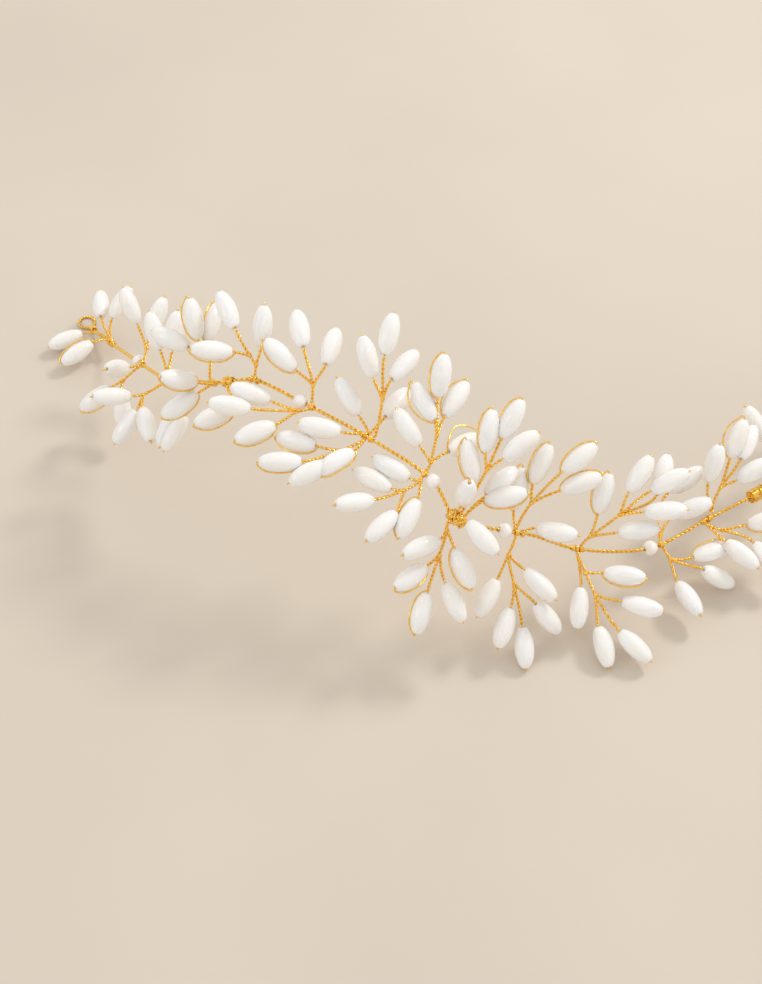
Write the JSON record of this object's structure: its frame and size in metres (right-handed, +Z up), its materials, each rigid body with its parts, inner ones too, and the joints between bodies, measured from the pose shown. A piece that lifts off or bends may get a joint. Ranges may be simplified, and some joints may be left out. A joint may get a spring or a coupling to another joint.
{
  "type": "bridal hair vine tiara",
  "caption": "Pliable gold-wire hair vine worn as a bridal tiara, with sprigs of rice-shaped mother-of-pearl beads and round pearls threaded on the main wire.",
  "frame": {"origin": "middle of the bounding box, on the surface that the vine stands on", "axes": "+X along the vine from its left end to its right end, +Y from the draped front towards the two end loops at the back, +Z up"},
  "size_m": [0.2246, 0.108, 0.0563],
  "materials": {
    "gold_wire": "bright gold-plated craft wire, 0.3 mm in the sprigs and 0.4 mm in the main wire, twisted in pairs",
    "nacre": "polished mother-of-pearl with soft bands of sheen",
    "pearl": "small glossy pearl, warm pinkish white"
  },
  "bodies": {
    "section_5": {"main_wire_5": "gold_wire", "binding_centre": "gold_wire", "sprig_centre_top": "nacre", "sprig_centre_back": "nacre", "sprig_centre_right": "nacre", "sprig_centre_low": "nacre", "sprig_centre_front": "nacre"},
    "section_1": {"main_wire_1": "gold_wire", "end_loop_left": "gold_wire", "sprig_left_end": "nacre"},
    "section_2": {"main_wire_2": "gold_wire", "sprig_pearl1_back": "nacre", "sprig_pearl1_front": "nacre", "sprig_hub2_back": "nacre", "sprig_hub2_front": "nacre"},
    "section_3": {"main_wire_3": "gold_wire", "sprig_pearl2_front": "nacre", "sprig_hub3_back": "nacre", "sprig_hub3_front": "nacre", "binding_left": "gold_wire", "sprig_binding_left": "nacre", "sprig_hub4_back": "nacre"},
    "section_4": {"main_wire_4": "gold_wire", "sprig_pearl3_back": "nacre", "sprig_pearl3_front": "nacre", "sprig_hub5_back": "nacre", "sprig_hub5_behind": "nacre", "sprig_hub5_left": "nacre", "sprig_hub5_front": "nacre", "sprig_pearl4_back": "nacre", "sprig_pearl4_front": "nacre"},
    "section_6": {"main_wire_6": "gold_wire", "sprig_pearl5_back": "nacre", "sprig_pearl5_right": "nacre", "sprig_pearl5_front": "nacre", "sprig_hub6_back": "nacre", "sprig_hub6_front": "nacre"},
    "section_7": {"main_wire_7": "gold_wire", "sprig_pearl6_back": "nacre", "sprig_pearl6_front": "nacre", "sprig_hub7_back": "nacre", "sprig_hub7_front": "nacre", "binding_right": "gold_wire", "sprig_hub8_back": "nacre"},
    "section_8": {"main_wire_8": "gold_wire", "sprig_pearl7_front": "nacre", "sprig_hub9_back": "nacre", "sprig_hub9_front": "nacre"},
    "section_9": {"main_wire_9": "gold_wire", "sprig_pearl8_back": "nacre", "end_loop_right": "gold_wire", "sprig_right_end": "nacre"},
    "threaded_pearl_1": {"pearl_1": "pearl"},
    "threaded_pearl_2": {"pearl_2": "pearl"},
    "threaded_pearl_3": {"pearl_3": "pearl"},
    "threaded_pearl_4": {"pearl_4": "pearl"},
    "threaded_pearl_5": {"pearl_5": "pearl"},
    "threaded_pearl_6": {"pearl_6": "pearl"},
    "threaded_pearl_7": {"pearl_7": "pearl"},
    "threaded_pearl_8": {"pearl_8": "pearl"}
  },
  "joints": [
    {"name": "wire_bend_4", "type": "hinge", "parent": "section_5", "child": "section_4", "pos_m": [-0.02279, -0.02986, 0.0336], "axis": [-0.6608, -0.7505, 0], "range_deg": [-20, 25]},
    {"name": "wire_bend_3", "type": "hinge", "parent": "section_4", "child": "section_3", "pos_m": [-0.04927, -0.01337, 0.04009], "axis": [-0.5315, -0.847, 0], "range_deg": [-5, 25]},
    {"name": "wire_bend_2", "type": "hinge", "parent": "section_3", "child": "section_2", "pos_m": [-0.07379, 0.00164, 0.03158], "axis": [-0.7215, -0.6924, 0], "range_deg": [-25, 15]},
    {"name": "wire_bend_1", "type": "hinge", "parent": "section_2", "child": "section_1", "pos_m": [-0.08777, 0.02312, 0.01509], "axis": [-0.8858, -0.4641, 0], "range_deg": [-25, 25]},
    {"name": "wire_bend_5", "type": "hinge", "parent": "section_5", "child": "section_6", "pos_m": [-0.00826, -0.03487, 0.02358], "axis": [0.1329, -0.9911, 0], "range_deg": [-12, 5]},
    {"name": "wire_bend_6", "type": "hinge", "parent": "section_6", "child": "section_7", "pos_m": [0.02325, -0.02986, 0.01059], "axis": [0.352, -0.936, 0], "range_deg": [-25, 25]},
    {"name": "wire_bend_7", "type": "hinge", "parent": "section_7", "child": "section_8", "pos_m": [0.06271, -0.00489, 0.00959], "axis": [0.6153, -0.7883, 0], "range_deg": [-25, 20]},
    {"name": "wire_bend_8", "type": "hinge", "parent": "section_8", "child": "section_9", "pos_m": [0.08575, 0.01515, 0.00659], "axis": [0.7038, -0.7104, 0], "range_deg": [-25, 25]},
    {"name": "pearl_spin_1", "type": "hinge", "parent": "section_2", "child": "threaded_pearl_1", "pos_m": [-0.08777, 0.02312, 0.01509], "axis": [0.3972, -0.7581, 0.5173], "continuous": true},
    {"name": "pearl_spin_2", "type": "hinge", "parent": "section_3", "child": "threaded_pearl_2", "pos_m": [-0.07379, 0.00164, 0.03158], "axis": [0.5775, -0.6017, 0.5518], "continuous": true},
    {"name": "pearl_spin_3", "type": "hinge", "parent": "section_4", "child": "threaded_pearl_3", "pos_m": [-0.04927, -0.01337, 0.04009], "axis": [0.845, -0.5303, -0.069], "continuous": true},
    {"name": "pearl_spin_4", "type": "hinge", "parent": "section_5", "child": "threaded_pearl_4", "pos_m": [-0.02279, -0.02986, 0.0336], "axis": [0.6803, -0.599, -0.4224], "continuous": true},
    {"name": "pearl_spin_5", "type": "hinge", "parent": "section_5", "child": "threaded_pearl_5", "pos_m": [-0.00826, -0.03487, 0.02358], "axis": [0.8794, 0.1179, -0.4613], "continuous": true},
    {"name": "pearl_spin_6", "type": "hinge", "parent": "section_6", "child": "threaded_pearl_6", "pos_m": [0.02325, -0.02986, 0.01059], "axis": [0.9302, 0.3498, -0.1111], "continuous": true},
    {"name": "pearl_spin_7", "type": "hinge", "parent": "section_7", "child": "threaded_pearl_7", "pos_m": [0.06271, -0.00489, 0.00959], "axis": [0.785, 0.6127, -0.092], "continuous": true},
    {"name": "pearl_spin_8", "type": "hinge", "parent": "section_8", "child": "threaded_pearl_8", "pos_m": [0.08575, 0.01515, 0.00659], "axis": [0.7043, 0.6978, -0.1308], "continuous": true}
  ]
}
